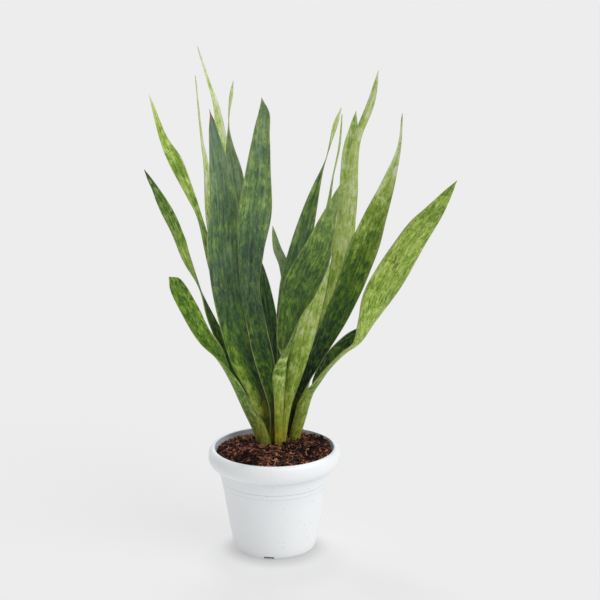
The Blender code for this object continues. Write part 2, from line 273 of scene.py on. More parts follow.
# The pot, one moulded shell. Lengths are in millimetres, and pairs go sideways first, then up or down.
pot = {
    "sides": 160,
    "baseRadius": 51.5, "wallSlope": 0.164, "wall": 1.5, "floor": 2.0,
    "rimDrop": 24.0, "lipRadius": 74.6, "skirt": 1.4, "widest": 11.0, "tuck": 3.6,
    "bandHeight": 17.0, "bandStep": 0.9, "secondStep": 6.0,
    "floorBend": ((1.6, 2.6), (0.6, 3.6), (0, 5), (0, 5.6)),  # in from the inner wall, and height
    "innerHeights": (30, 55, 80, 100), "flareHeights": (110, 118, 126),
    "lipCurve": ((-0.1, 1.3), (0.05, 0.6), (0.35, 0.18), (0.8, 0)),  # out from the lip, down from the top
    "hem": ((0.25, 0.12), (1.0, 0.05)),  # the folded edge turned in, from the skirt's last point
    "neck": ((0.9, 0.3), (0.4, 1.4), (0, 3)),  # out from the wall, down from the fold
    "bandEdge": ((1, 0.5), (0.9, 0.1), (0.55, -0.4), (0.4, -0.8)),  # share of the step, up from the edge
    "secondEdge": ((0.4, 0.4), (0.3, -0.1), (0, -0.7)),
    "outerHeights": (70, 55, 40, 25, 12, 5),
    "footCurve": ((0.25, 3.4), (0.8, 2), (1.7, 0.9)),  # in from the outer wall, and height
    "standRing": ((2.7, 0.25), (3.7, 0), (5.5, 0), (6.3, 0.25)),  # the ring that the pot stands on
    "recess": 0.8, "gateRadii": (5.2, 4.6, 2), "gateRise": 0.5,  # the underside and its round dimple
    "notches": 4, "notchTurn": -8.0, "notchSize": (12.5, 11.0, 8.4), "notchRound": 0.9,
    "smoothUpTo": 32,
    "white": ((0.895, 0.925, 0.950), (0.925, 0.940, 0.945)),
    # painted shade: the grey-blue inside the lip, and the dark grey inside the notches
    "insideShade": (0.62, 0.68, 0.76), "notchShade": (0.20, 0.21, 0.22),
    "paintedShadeGrey": (0.42, 0.45, 0.48), "scuffGrey": (0.60, 0.60, 0.58),
    "soilDust": (0.35, 0.26, 0.19), "speckBrown": (0.20, 0.17, 0.14),
    "paintedShadeLines": ((106.8, 0.60), (89.9, 0.55), (83.9, 0.28)),  # painted shade lines under the rim's edge and the band steps: height, and how grey
}
potLow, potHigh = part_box("pot")
potTop = potHigh.z / mm
rimRadius = potHigh.x / mm


def outerWall(height):
    return pot["baseRadius"] + pot["wallSlope"] * height


def innerWall(height):  # inside radius of the pot, in mm, flared to the lip behind the rim
    knee = potTop - pot["rimDrop"]
    if height <= knee:
        return outerWall(height) - pot["wall"]
    share = (height - knee) / (potTop - knee)
    return outerWall(knee) - pot["wall"] + share * (pot["lipRadius"] - outerWall(knee) + pot["wall"])


def rimCurve(inset):  # the folded skirt, from the lip out to its widest line and in underneath
    top = potTop - inset
    widest = potTop - pot["widest"]
    edge = potTop - pot["rimDrop"]
    start = pot["lipRadius"] + pot["wall"]
    reach = rimRadius - inset - start
    tuck = outerWall(edge) + pot["tuck"] - inset
    back = rimRadius - inset - tuck
    over = [math.radians(a) for a in range(12, 91, 6)]
    under = [math.radians(a) for a in range(8, 91, 7)] + [math.radians(90)]
    curve = [(start + reach * math.sin(a), widest + (top - widest) * math.cos(a)) for a in over]
    curve += [(tuck + back * math.cos(a), widest + (edge - widest) * math.sin(a)) for a in under]
    return curve


def potRings():
    lip = pot["lipRadius"]
    knee = potTop - pot["rimDrop"]
    band = knee - pot["bandHeight"]
    second = band - pot["secondStep"]
    fold = potTop - pot["skirt"] * 1.4
    step = pot["bandStep"]
    floor = pot["floor"]
    recess = pot["recess"]
    inside = [(4, floor), (30, floor), (innerWall(floor) - 3, floor)]
    inside += [(innerWall(h) - inset, h) for inset, h in pot["floorBend"]]
    inside += [(innerWall(h), h) for h in (*pot["innerHeights"], knee, *pot["flareHeights"])]
    inside += [(lip + out, potTop - down) for out, down in pot["lipCurve"]]
    outside = rimCurve(0)
    edge, drop = outside[-1]
    hem = [(edge - inward, drop - down) for inward, down in pot["hem"]]
    back = list(reversed(rimCurve(pot["skirt"])))[:-1]
    neck = [(lip + pot["wall"] + out, fold - down) for out, down in pot["neck"]]
    neck += [(outerWall(knee) + 1.6, knee + 4), (outerWall(knee) + step, knee)]
    body = [(outerWall(h) + step, h) for h in (knee - 6, band + 4)]
    body += [(outerWall(band) + step * share, band + up) for share, up in pot["bandEdge"]]
    body += [(outerWall(second) + step * share, second + up) for share, up in pot["secondEdge"]]
    body += [(outerWall(h), h) for h in pot["outerHeights"]]
    foot = [(outerWall(h) - inset, h) for inset, h in pot["footCurve"]]
    foot += [(outerWall(0) - inset, h) for inset, h in pot["standRing"]]
    foot += [(outerWall(0) - 6.7, recess), (20, recess)]
    first, *rest = pot["gateRadii"]
    gate = [(first, recess)] + [(r, recess + pot["gateRise"]) for r in rest]
    rings = inside + outside + hem + back + neck + body + foot + gate
    return [(r * mm, z * mm) for r, z in rings]


def plasticFinish():
    finish = Finish("potPlastic")
    place = finish.objectPlace()
    height = finish.part(place, "Z")
    sideways = finish.part(place, "X")
    out = finish.fromAxis(place)
    cloud = finish.noise(place, 14, 3)
    grime = finish.noise(place, 55, 4, 0.65)
    specks = finish.cells(place, 210)
    chance = finish.noise(place, 46, 2)
    more = finish.between(sideways, -50 * mm, 60 * mm)
    speck = (1 - finish.between(specks, 0.08, 0.17)) * finish.between(chance, 0.53 - 0.06 * more, 0.66)
    scuffs = finish.noise(finish.stretch(place, (160, 160, 22)), 1, 4, 0.7)
    scuff = finish.between(scuffs, 0.60, 0.72)
    dust = finish.between(grime, 0.55, 0.75) * finish.between(height, 110 * mm, 131 * mm)
    # painted shade: the inside of the flared lip is tinted grey-blue
    inside = 1 - finish.between(out, 74.6 * mm, 75.3 * mm)
    inside = inside * finish.between(height, 108 * mm, 110 * mm)
    # painted shade: the walls inside the foot's notches are darkened
    notchShadeMask = 1 - finish.between(out, 47.8 * mm, 49.6 * mm)
    notchShadeMask = notchShadeMask * (1 - finish.between(height, 7 * mm, 9 * mm))
    colour = finish.mix(cloud, *pot["white"])
    colour = finish.mix(inside, colour, pot["insideShade"])
    colour = finish.mix(notchShadeMask, colour, pot["notchShade"])
    # painted shade: thin grey lines just under the rim's edge and under each band step
    for low, strength in pot["paintedShadeLines"]:
        line = finish.between(height, (low - 0.5) * mm, (low + 0.1) * mm)
        line = line * (1 - finish.between(height, (low + 0.3) * mm, (low + 0.9) * mm))
        colour = finish.mix(strength * line, colour, pot["paintedShadeGrey"])
    colour = finish.mix(0.10 * scuff, colour, pot["scuffGrey"])
    colour = finish.mix(0.10 * dust, colour, pot["soilDust"])
    colour = finish.mix(0.55 * speck, colour, pot["speckBrown"])
    finish.set("Base Color", colour)
    finish.set("Roughness", 0.36 + 0.10 * grime + 0.10 * scuff)
    finish.set("IOR", 1.49)
    rings = finish.noise(finish.stretch(place, (6, 6, 900)), 1, 2)
    peel = finish.noise(place, 420, 2)
    finish.set("Normal", finish.bump(peel * 0.5 + rings * 0.25 + scuff * 0.3 + speck * 0.8, 0.12 * mm))
    return finish.material


def makePot():
    piece = ringsUp("plasticPot", potRings(), pot["sides"])
    wide, deep, high = (size * mm for size in pot["notchSize"])
    for i in range(pot["notches"]):
        turn = math.radians(pot["notchTurn"] + i * 360 / pot["notches"])
        reach = (pot["baseRadius"] + 0.5) * mm
        place = (reach * math.sin(turn), -reach * math.cos(turn), 0)
        bpy.ops.object.select_all(action="DESELECT")
        bpy.ops.mesh.primitive_cube_add(size=1, location=place, rotation=(0, 0, turn))
        cutter = bpy.context.object
        cutter.scale = (wide, deep, high)
        bpy.ops.object.transform_apply(location=True, rotation=True, scale=True)
        bpy.ops.object.mode_set(mode="EDIT")
        bpy.ops.mesh.select_all(action="SELECT")
        bpy.ops.mesh.bevel(offset=pot["notchRound"] * mm, segments=3, affect="EDGES")
        bpy.ops.object.mode_set(mode="OBJECT")
        cut = piece.modifiers.new("notch", "BOOLEAN")
        cut.operation = "DIFFERENCE"
        cut.solver = "EXACT"
        cut.object = cutter
        bpy.context.view_layer.objects.active = piece
        bpy.ops.object.modifier_apply(modifier="notch")
        bpy.data.objects.remove(cutter, do_unlink=True)
    smoothByAngle(piece, pot["smoothUpTo"])
    piece.data.materials.append(plasticFinish())
    finishPiece(piece, "pot_plastic", "pot")
    print("pot ready")


makePot()


# The potting mix: one mounded body, with loose fibres, crumbs and chips laid on it. Lengths in millimetres.
mix = {
    "gap": 0.3, "sides": 144, "rings": 46, "sideHeights": (80, 50, 20, 5.6),
    "mound": ((0, 1.0), (0.28, 0.97), (0.55, 0.80), (0.78, 0.50), (0.93, 0.20), (1.0, 0.0)),
    "topHeight": 130.0, "edgeHeight": 122.6,
    # where more of it lies behind the stems and along the wall: x, y, height and spread
    "heaps": ((27, 58, 8.5, 14), (66, 18, 5.5, 24), (58, 42, 3.5, 18), (-68, 4, 3.0, 20), (-50, 44, 2.0, 18)),
    "lumps": ((2.2, 11.0, 1.5), (2.0, 4.6, 4.0), (0.9, 2.0, 9.0)),  # height mm, size mm, noise offset
    "fibres": 2300, "crumbs": 1500, "chips": 420, "seed": 11,
    "hollowShade": 0.11,  # painted shade: how much darker a piece is for each millimetre that it lies lower, and lighter where higher
    "colours": (
        (0.0, (0.006, 0.004, 0.006)),
        (0.26, (0.022, 0.011, 0.011)),
        (0.48, (0.088, 0.030, 0.020)),
        (0.70, (0.270, 0.095, 0.050)),
        (1.0, (0.680, 0.330, 0.185)),
    ),
}


def lumpHeight(x, y):  # how far its lumps rise or sink at a place, all in mm
    height = 0
    for tall, size, offset in mix["lumps"]:
        height += tall * noise.noise(Vector((x / size, y / size, offset)))
    return height


def moundHeight(x, y):  # top of the mix at a place, all in mm
    reach = innerWall(mix["edgeHeight"]) - mix["gap"]
    share = min(math.hypot(x, y) / reach, 1)
    for (low, a), (high, b) in zip(mix["mound"], mix["mound"][1:]):
        if share <= high:
            lift = a + (b - a) * (share - low) / (high - low)
            break
    height = mix["edgeHeight"] + lift * (mix["topHeight"] - mix["edgeHeight"])
    for heapX, heapY, tall, spread in mix["heaps"]:
        height += tall * math.exp(-((math.hypot(x - heapX, y - heapY) / spread) ** 2))
    return height + lumpHeight(x, y)


def soilColour(finish, place, shade):
    fine = finish.noise(place, 900, 4, 0.7)
    patch = finish.noise(place, 120, 3)
    zone = finish.between(finish.noise(place, 34, 2), 0.38, 0.62)
    tone = shade + fine * 0.44 + patch * 0.30 + zone * 0.38 - 0.63
    return finish.ramp(tone, mix["colours"])


def mixFinish():
    finish = Finish("pottingMix")
    place = finish.objectPlace()
    grain = finish.noise(place, 640, 5, 0.7)
    pits = finish.cells(place, 520)
    # the body of the mix is darker than the loose pieces: the mix's own dark colour, with painted shade for
    # the gaps between them
    finish.set("Base Color", soilColour(finish, place, finish.between(grain, 0.35, 0.75) * 0.4 - 0.12))
    finish.set("Roughness", 0.92)
    finish.set("Specular IOR Level", 0.08)
    finish.set("Normal", finish.bump(grain + pits * 0.6, 1.2 * mm))
    return finish.material


def looseFinish():
    finish = Finish("coirFibre")
    place = finish.objectPlace()
    shade = finish.attribute("shade", "Fac")
    lines = finish.noise(finish.stretch(place, (1200, 1200, 1200)), 1, 2)
    finish.set("Base Color", soilColour(finish, place, shade))
    finish.set("Roughness", 0.78)
    finish.set("Specular IOR Level", 0.15)
    finish.set("Normal", finish.bump(lines, 0.3 * mm))
    return finish.material


def makeMix():
    gap = mix["gap"]
    edge = mix["edgeHeight"]
    reach = innerWall(edge) - gap
    floor = pot["floor"]
    top = [(reach * (i + 0.15) / mix["rings"], edge) for i in range(mix["rings"])] + [(reach, edge)]
    knee = potTop - pot["rimDrop"]
    side = [(innerWall(h) - gap, h) for h in (knee, *mix["sideHeights"])]
    base = [(innerWall(floor) - 3.4, floor + gap), (20, floor + gap)]
    piece = ringsUp("pottingMix", [(r * mm, z * mm) for r, z in top + side + base], mix["sides"])
    for vert in piece.data.vertices:
        x, y, z = vert.co / mm
        if z > edge - 0.01:
            vert.co.z = moundHeight(x, y) * mm
            radius = math.hypot(x, y)
            if radius > reach * 0.9:  # a crumbly edge that stands a little back from the wall in places
                crumble = max(0, noise.noise(Vector((x / 4, y / 4, 2))))
                back = 1 - 0.035 * crumble * (radius / reach - 0.9) * 10
                vert.co.x *= back
                vert.co.y *= back
    bpy.context.view_layer.objects.active = piece
    piece.data.shade_smooth()
    piece.data.materials.append(mixFinish())
    finishPiece(piece, "soil", "soil")


def bentStrand(name, chance, thick, steps):
    # a strand of three sides, extruded along itself with small turns and drawn out to a point
    bpy.ops.object.select_all(action="DESELECT")
    upright = (0, math.pi / 2, 0)
    bpy.ops.mesh.primitive_circle_add(vertices=3, radius=thick * mm, fill_type="NGON", rotation=upright)
    piece = bpy.context.object
    piece.name = name
    bpy.ops.object.transform_apply(rotation=True)
    bpy.ops.object.mode_set(mode="EDIT")
    bpy.ops.mesh.select_all(action="SELECT")
    end = Vector((0, 0, 0))
    heading = 0.0
    for i in range(steps):
        stride = chance.uniform(1.1, 1.9) * mm
        climb = chance.uniform(-0.22, 0.22) * mm
        move = Vector((math.cos(heading) * stride, math.sin(heading) * stride, climb))
        bpy.ops.mesh.extrude_region_move(TRANSFORM_OT_translate={"value": move})
        end += move
        bend = chance.uniform(-0.55, 0.55)
        heading += bend
        bpy.ops.transform.rotate(value=-bend, orient_axis="Z", center_override=end)
        slim = 0.45 if i == steps - 1 else chance.uniform(0.86, 1.05)
        bpy.ops.transform.resize(value=(slim, slim, slim), center_override=end)
    bpy.ops.mesh.select_all(action="SELECT")
    bpy.ops.mesh.normals_make_consistent(inside=False)
    bpy.ops.object.mode_set(mode="OBJECT")
    for vert in piece.data.vertices:
        vert.co -= end / 2
    return piece


def roughLump(name, chance, flat):
    bpy.ops.object.select_all(action="DESELECT")
    bpy.ops.mesh.primitive_uv_sphere_add(segments=7, ring_count=5, radius=1 * mm)
    piece = bpy.context.object
    piece.name = name
    bpy.ops.object.mode_set(mode="EDIT")
    bpy.ops.mesh.select_all(action="SELECT")
    bpy.ops.transform.resize(value=(1.3, 0.9, flat), center_override=(0, 0, 0))
    bpy.ops.transform.vertex_random(offset=0.32 * mm, seed=chance.randint(1, 99))
    bpy.ops.object.mode_set(mode="OBJECT")
    return piece


def clearOfLeaves(x, y, room):
    return all(math.hypot(x - a, y - b) > room for a, b in leafFeet)


def scatter(name, models, count, chance, place, room):
    # copies of the models are laid on the mix, each with its own mesh and its own shade, and joined
    copies = []
    while len(copies) < count:
        radius = (innerWall(mix["edgeHeight"]) - 1.6) * math.sqrt(chance.random())
        turn = chance.uniform(0, 2 * math.pi)
        x, y = radius * math.cos(turn), radius * math.sin(turn)
        if not clearOfLeaves(x, y, room):
            continue
        size, tilt, lift, shade = place(chance)
        z = moundHeight(x, y) + lift
        # painted shade: pieces in the hollows between lumps are darker, those on the lumps lighter
        shade += mix["hollowShade"] * lumpHeight(x, y)
        mesh = chance.choice(models).data.copy()
        way = Euler((chance.uniform(-tilt, tilt), chance.uniform(-tilt, tilt), chance.uniform(0, 6.28)))
        mesh.transform(Matrix.LocRotScale(Vector((x, y, z)) * mm, way, Vector((size, size, size))))
        shades = mesh.attributes.new("shade", "FLOAT", "POINT")
        shades.data.foreach_set("value", [shade] * len(mesh.vertices))
        piece = bpy.data.objects.new(name, mesh)
        bpy.context.scene.collection.objects.link(piece)
        copies.append(piece)
    bpy.ops.object.select_all(action="DESELECT")
    for piece in copies:
        piece.select_set(True)
    bpy.context.view_layer.objects.active = copies[0]
    bpy.ops.object.join()
    joined = bpy.context.object
    joined.name = name
    joined.data.name = name
    limit = (innerWall(mix["edgeHeight"]) - 0.3) * mm
    for vert in joined.data.vertices:  # nothing reaches into the wall
        out = math.hypot(vert.co.x, vert.co.y)
        if out > limit:
            vert.co.x *= limit / out
            vert.co.y *= limit / out
    joined.data.materials.clear()
    joined.data.materials.append(loose)
    finishPiece(joined, "soil")


def makeLoose():
    chance = random.Random(mix["seed"])
    strands = [bentStrand(f"strand{i}", chance, chance.uniform(0.30, 0.62), 6) for i in range(6)]
    lumps = [roughLump(f"lump{i}", chance, 0.75) for i in range(5)]
    flakes = [roughLump(f"flake{i}", chance, 0.3) for i in range(4)]

    def strandPlace(chance):  # size, tilt, lift and shade
        size = chance.uniform(0.4, 1.15)
        return size, 0.5, chance.uniform(0.0, 1.8), chance.triangular(-0.1, 1.5, 0.4)

    def lumpPlace(chance):
        size = chance.triangular(0.5, 2.8, 0.9)
        return size, 1.2, chance.uniform(-0.3, 0.8), chance.triangular(-0.1, 0.9, 0.2)

    def flakePlace(chance):
        size = chance.uniform(0.8, 2.1)
        return size, 0.5, chance.uniform(-0.1, 0.7), chance.triangular(0.0, 0.9, 0.2)

    scatter("coirFibres", strands, mix["fibres"], chance, strandPlace, 6.0)
    scatter("mixCrumbs", lumps, mix["crumbs"], chance, lumpPlace, 4.6)
    scatter("mixChips", flakes, mix["chips"], chance, flakePlace, 5.0)
    for model in strands + lumps + flakes:
        bpy.data.objects.remove(model, do_unlink=True)


# The leaves: thick channelled blades with a soft round edge.
leafShape = {
    "strips": 14, "rows": 92, "spanSteps": 40,
    "rootThickness": 2.5, "tipThickness": 1.0, "marginShare": 0.45,
    "rootCup": 60.0, "bladeCup": 17.0, "cupFade": 0.30,
    "wave": 1.1, "wavesPerMetre": 11,  # millimetres that the margins rise and fall
    "waver": 0.03, "waversPerMetre": 22,  # share of the width that the outline wavers
    "rootFree": 5, "tipFree": 6,  # how soon the waves start after the root and fade before the tip
    "yellowLength": 105, "marginLine": 0.9, "dryFade": 0.02,
}

leafColours = {
    "blade": (  # from the darkest green to the palest
        (0.0, (0.006, 0.018, 0.012)),
        (0.16, (0.018, 0.058, 0.014)),
        (0.32, (0.046, 0.122, 0.012)),
        (0.48, (0.126, 0.242, 0.014)),
        (0.64, (0.290, 0.425, 0.046)),
        (0.80, (0.555, 0.685, 0.185)),
        (1.0, (0.800, 0.840, 0.600)),
    ),
    "bladeShare": 0.8,  # how far along those colours a lightness of 1 lies
    "upperFleck": (0.34, 0.44, 0.10), "underFleck": (0.52, 0.62, 0.19),
    # the grey-blue haze: waxy bloom with a painted sheen
    "bloomAndSheen": ((0.125, 0.205, 0.155), (0.265, 0.360, 0.275)),
    "yellow": (0.44, 0.32, 0.020), "withered": (0.33, 0.17, 0.10),
    "margin": ((0.40, 0.42, 0.20), (0.33, 0.19, 0.12)),
}

# The midrib of each leaf from the crown to the tip: x, y, z and the width there in millimetres,
# and the way the upper face looks, in degrees from the front, positive to the right.
leafPaths = {
    "leaf_left_1": (
        (-12, 9, 112, 17, 176), (-13, 8, 130, 21, 172), (-21, 2, 155, 21, 168), (-34, -7, 182, 18, 158),
        (-50, -18, 216, 22, 124), (-70, -34, 259, 27, 84), (-87, -46, 288, 27, 60),
        (-100, -58, 319, 28, 50), (-115, -73, 355, 22, 46), (-122, -79, 368, 6, 46),
    ),
    "leaf_left_2": (
        (-13, 22, 112, 11, 6), (-15, 23, 139, 13, 10), (-31, 20, 188, 20, 24), (-50, 18, 226, 21, 44),
        (-80, 13, 297, 17, 68), (-91, 9, 333, 10, 104), (-105, 6, 366, 15, 140),
        (-118, 2, 406, 16, 156), (-132, -1, 438, 15, 162), (-154, -6, 483, 2, 165),
    ),
    "leaf_left_3": (
        (-13, 18, 112, 11, 0), (-12, 18, 145, 14, 2), (-15, 16, 171, 23, 4), (-23, 13, 203, 27, 8),
        (-41, 10, 247, 33, 12), (-54, 4, 321, 41, 11), (-60, -1, 385, 43, 9), (-60, -6, 439, 35, 8),
        (-65, -10, 491, 23, 8), (-75, -16, 556, 2, 8),
    ),
    "leaf_left_4": (
        (-12, 26, 112, 11, 0), (-10, 28, 138, 11, -4), (-19, 33, 201, 16, -6), (-31, 38, 298, 26, -6),
        (-41, 44, 392, 28, -8), (-47, 48, 463, 24, -12), (-52, 51, 499, 14, -36),
        (-54, 53, 533, 5, -90), (-51, 55, 562, 5, -150), (-48, 56, 582, 2, -168),
    ),
    "leaf_left_5": (
        (-12, 30, 112, 11, 0), (-11, 32, 136, 11, 6), (-22, 40, 199, 16, 10), (-39, 54, 307, 25, 14),
        (-54, 69, 419, 25, 18), (-64, 79, 499, 17, 22), (-70, 85, 545, 9, 28),
        (-80, 90, 578, 4, 36), (-93, 96, 620, 2, 40),
    ),
    "leaf_left_6": (
        (-12, 34, 112, 11, 0), (-12, 36, 134, 11, 14), (-30, 43, 199, 15, 30), (-56, 52, 279, 20, 40),
        (-78, 60, 354, 19, 52), (-92, 66, 408, 13, 66), (-103, 69, 437, 16, 54),
        (-122, 74, 479, 22, 46), (-137, 78, 509, 13, 48), (-153, 84, 562, 2, 50),
    ),
    "leaf_left_7": (
        (-12, 38, 112, 10, 0), (-14, 41, 133, 10, 12), (-33, 57, 207, 15, 26), (-61, 76, 301, 19, 40),
        (-79, 95, 395, 19, 48), (-85, 109, 464, 12, 54), (-91, 117, 506, 5, 60),
        (-98, 132, 581, 2, 64),
    ),
    "leaf_middle_1": (
        (8, 10, 112, 13, -150), (7, 8, 136, 13, -150), (8, 0, 186, 17, -146), (12, -10, 228, 30, -126),
        (20, -23, 270, 43, -70), (28, -33, 318, 46, -46), (36, -42, 350, 48, -32),
        (51, -53, 388, 38, -20), (61, -64, 422, 24, -16), (78, -84, 479, 2, -14),
    ),
    "leaf_middle_2": (
        (10, 20, 112, 11, 178), (10, 18, 132, 11, 174), (16, 21, 178, 13, 172), (24, 24, 212, 21, 170),
        (39, 31, 276, 31, 167), (56, 38, 349, 28, 150), (65, 44, 414, 17, 112),
        (73, 49, 462, 13, 88), (81, 53, 500, 8, 72), (85, 58, 541, 2, 60),
    ),
    "leaf_middle_3": (
        (-1, 23, 113, 11, 0), (-1, 16.5, 138, 11, 18), (-1, 9, 180, 13, 10), (-9, 3, 232, 25, -5),
        (-19, 0, 279, 26, -6), (-28, -10, 335, 24, -6), (-27, -19, 386, 32, -5),
        (-22, -27, 432, 40, -4), (-17, -36, 488, 30, -4), (-12, -48, 550, 14, -4), (-13, -52, 574, 2, -4),
    ),
    "leaf_middle_4": (
        (4, 28, 112, 11, -4), (2, 28, 138, 11, -8), (-2, 31, 192, 14, -10), (-6, 34, 246, 24, -12),
        (-8, 38, 287, 26, -13), (-11, 41, 322, 18, -14), (-15, 44, 359, 2, -16),
    ),
    "leaf_middle_5": (
        (7, 32, 112, 11, -6), (7, 32, 136, 11, -10), (9, 40, 186, 14, -10), (14, 51, 255, 24, -10),
        (22, 60, 318, 31, -10), (32, 68, 362, 28, -8), (42, 75, 402, 22, -14), (55, 82, 446, 13, -44),
        (68, 89, 485, 5, -96), (78, 94, 521, 7, -152), (86, 98, 544, 2, -162),
    ),
    "leaf_middle_6": (
        (9, 37, 112, 11, -10), (8, 38, 137, 11, -18), (12, 47, 183, 14, -20), (17, 58, 245, 15, -22),
        (19, 67, 300, 15, -22), (14, 81, 343, 14, -24), (5, 88, 366, 12, -24), (-1, 94, 394, 2, -24),
    ),
    "leaf_right_1": (
        (26, 30, 112, 14, 182), (27, 29, 132, 17, 190), (35, 24, 163, 20, 198), (43, 20, 185, 24, 222),
        (55, 14, 207, 29, 262), (72, 7, 236, 31, 280), (91, 0, 257, 36, 272), (110, -6, 272, 44, 260),
        (122, -11, 298, 47, 230), (133, -18, 335, 47, 206), (167, -37, 402, 38, 200),
        (190, -49, 438, 25, 199), (214, -62, 478, 2, 198),
    ),
    "leaf_right_2": (
        (22, 41, 112, 11, 0), (21, 41, 130, 11, -4), (23, 39, 171, 14, -8), (36, 38, 206, 20, -12),
        (54, 36, 243, 25, -14), (84, 33, 301, 30, -16), (112, 30, 377, 36, -16),
        (126, 28, 419, 28, -16), (141, 26, 461, 17, -16), (153, 24, 504, 5, -16), (156, 22, 546, 2, -18),
    ),
    "leaf_right_3": (
        (26, 45, 112, 11, 180), (28, 45, 134, 11, 176), (36, 43, 188, 13, 174), (57, 40, 264, 16, 172),
        (78, 37, 326, 22, 170), (88, 35, 385, 23, 168), (93, 32, 450, 20, 162),
        (101, 30, 510, 11, 158), (118, 28, 557, 10, 154), (127, 26, 597, 2, 150),
    ),
    "leaf_right_4": (
        (25, 55, 112, 11, 0), (28, 57, 133, 11, 0), (38, 65, 191, 13, 0), (61, 76, 272, 17, 0),
        (86, 88, 357, 23, 0), (95, 98, 432, 24, 0), (97, 104, 485, 20, 0), (102, 109, 518, 10, 0),
        (105, 112, 538, 2, 0),
    ),
}

# Half the arc, in degrees, that three leaves bend round at each of those places, where they fold and twist.
leafFolds = {
    "leaf_left_1": (60, 60, 62, 66, 72, 60, 40, 28, 24, 24),
    "leaf_middle_1": (60, 60, 62, 76, 84, 64, 34, 22, 18, 17),
    "leaf_right_1": (60, 60, 64, 72, 80, 82, 76, 66, 38, 19, 17, 17, 17),
}

# Where an outline stands out or is eaten away: which half, the share of the length, the spread and
# the millimetres.
leafCorners = {
    "leaf_middle_3": ((1, 0.955, 0.045, 2.8), (-1, 0.965, 0.04, -1.2), (-1, 0.07, 0.07, 1.6)),
    "leaf_left_3": ((-1, 0.985, 0.04, -1.6), (1, 0.96, 0.03, 0.8), (1, 0.08, 0.07, 1.4)),
    "leaf_left_2": ((1, 0.93, 0.03, -1.0), (-1, 0.75, 0.03, 0.8)),
    "leaf_right_2": ((-1, 0.60, 0.04, 1.0),),
    "leaf_right_3": ((1, 0.56, 0.11, 3.8),),
}

# How light and how hazy each leaf is at five even places from root to tip (the haze is waxy bloom with a
# painted sheen), then its yellowing at the foot, pale flecks, cross bands, reddened margin, and the share of
# its length where the dry tip starts, over 1 where there is none.
leafLooks = {
    "leaf_left_1": ((0.38, 0.42, 0.53, 0.6, 0.53), (0.1, 0.2, 0, 0, 0), 0.7, 0.7, 0.3, 0.5, 1.1),
    "leaf_left_2": ((0.34, 0.34, 0.42, 0.71, 0.16), (0, 0.05, 0.05, 0.05, 0.05), 0.8, 0.6, 0.3, 0.5, 1.1),
    "leaf_left_3": ((0.52, 0.55, 0.36, 0.61, 0.53), (0, 0, 0.24, 0.62, 0.66), 0.8, 0.3, 0.5, 0.5, 0.972),
    "leaf_left_4": ((0.4, 0.4, 0.43, 0.76, 1.12), (0.1, 0.2, 0.45, 0.75, 0.15), 0.4, 0.3, 0.5, 0.2, 1.1),
    "leaf_left_5": ((0.45, 0.55, 0.76, 1.08, 1.22), (0.1, 0.1, 0.1, 0.05, 0), 0.4, 0.7, 0.3, 0.2, 1.1),
    "leaf_left_6": ((0.4, 0.42, 0.58, 0.79, 1.1), (0.05, 0.05, 0.1, 0.05, 0), 0.4, 0.7, 0.3, 0.3, 1.1),
    "leaf_left_7": ((0.45, 0.55, 0.8, 1.21, 0.9), (0.05, 0.05, 0.05, 0.05, 0.1), 0.4, 0.8, 0.3, 0.2, 1.1),
    "leaf_middle_1": ((0.7, 0.7, 0.44, 0.56, 0.94), (0, 0.05, 0.05, 0.16, 0.5), 1.25, 0.5, 0.42, 0.9, 1.1),
    "leaf_middle_2": ((0.78, 0.86, 1, 0.93, 0.84), (0, 0, 0, 0.05, 0.1), 1.1, 0.45, 0.4, 0.6, 1.1),
    "leaf_middle_3": ((0.44, 0.36, 0.29, 0.58, 0.67), (0, 0, 0.2, 0.5, 0.6), 0.5, 0.3, 0.6, 0.5, 1.1),
    "leaf_middle_4": ((0.32, 0.3, 0.38, 0.35, 0.31), (0, 0.05, 0.1, 0.15, 0.2), 0.3, 0.2, 0.4, 0.3, 1.1),
    "leaf_middle_5": ((0.34, 0.34, 0.42, 0.71, 1.12), (0, 0.1, 0.2, 0.38, 0.1), 0.3, 0.3, 0.4, 0.4, 1.1),
    "leaf_middle_6": ((0.4, 0.45, 0.7, 1.15, 1), (0.2, 0.4, 0.55, 0.75, 0.65), 0.3, 0.2, 0.3, 0.2, 1.1),
    "leaf_right_1": ((0.64, 0.7, 0.73, 0.76, 0.74), (0.05, 0.05, 0, 0, 0.05), 0.6, 0.9, 0.4, 0.5, 1.1),
    "leaf_right_2": ((0.22, 0.13, 0.54, 0.9, 1.14), (0, 0, 0.05, 0.1, 0.1), 0.3, 0.4, 0.35, 0.5, 0.985),
    "leaf_right_3": ((0.55, 0.72, 0.88, 1.03, 1.08), (0, 0.05, 0.05, 0.1, 0.05), 0.5, 0.8, 0.3, 0.4, 1.1),
    "leaf_right_4": ((0.4, 0.45, 0.6, 0.88, 0.98), (0.1, 0.2, 0.3, 0.3, 0.3), 0.3, 0.4, 0.3, 0.3, 1.1),
}

# How much lighter the upper face and the underside are than that, where a leaf's two faces differ.
leafFaces = {
    "leaf_left_1": (-0.03, 0.10),
    "leaf_left_2": (0.02, 0.0),
    "leaf_middle_4": (0.0, 0.45),
    "leaf_right_1": (-0.38, 0.0),
}

